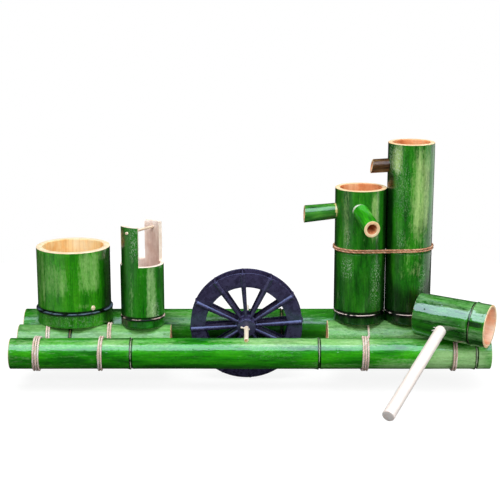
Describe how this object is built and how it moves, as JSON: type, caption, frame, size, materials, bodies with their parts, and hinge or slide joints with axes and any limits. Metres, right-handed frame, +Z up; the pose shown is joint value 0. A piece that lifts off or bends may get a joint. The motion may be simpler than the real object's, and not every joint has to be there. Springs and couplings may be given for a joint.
{
  "type": "bamboo garden fountain",
  "caption": "Cascade fountain of green bamboo culms lashed into a raft, with standing cups and spouted tubes, a plastic water wheel and a ladle.",
  "frame": {"origin": "on the plane under the raft's culms, at the raft's mid length, below the axis of the middle culms", "axes": "+X along the raft towards the tall tube and the ladle, +Y to the back, away from the ladle's handle, +Z up"},
  "size_m": [0.7056, 0.3546, 0.3581],
  "materials": {
    "raft_culm": "green bamboo skin, smooth and wet",
    "upright_culm": "green bamboo skin, smooth and wet, cut rims cream",
    "spout_culm": "thin green bamboo, cut lips cream",
    "ladle_culm": "green bamboo skin, smooth and wet",
    "peeled_bamboo": "peeled bamboo stick, satin",
    "split_bamboo": "split bamboo, plain",
    "twine": "laid hemp twine, damp",
    "wheel_plastic": "moulded black plastic, satin gloss"
  },
  "bodies": {
    "raft": {"front_pole": "raft_culm", "rear_pole": "raft_culm", "middle_pole_left": "raft_culm", "middle_pole_right": "raft_culm", "raft_dowels": "split_bamboo", "seat_pegs": "split_bamboo", "raft_lashings": "twine", "tube_tie": "twine", "wide_cup": "upright_culm", "pail": "upright_culm", "pail_bar": "peeled_bamboo", "medium_tube": "upright_culm", "tall_tube": "upright_culm", "left_spout": "spout_culm", "front_spout": "spout_culm", "tall_spout": "spout_culm", "wheel_axle": "peeled_bamboo", "axle_pegs": "peeled_bamboo"},
    "wheel": {"wheel_front_plate": "wheel_plastic", "wheel_rear_plate": "wheel_plastic", "wheel_blades": "wheel_plastic", "wheel_hub": "wheel_plastic"},
    "ladle": {"ladle_cup": "ladle_culm", "ladle_handle": "peeled_bamboo"}
  },
  "joints": [
    {"name": "wheel_spin", "type": "hinge", "parent": "raft", "child": "wheel", "pos_m": [-0.0053, 0.004, 0.0512], "axis": [0, 0.9957, 0.0924], "continuous": true},
    {"name": "ladle_lift", "type": "slide", "parent": "raft", "child": "ladle", "axis": [0, 0, 1], "range_m": [0, 0.15]}
  ]
}
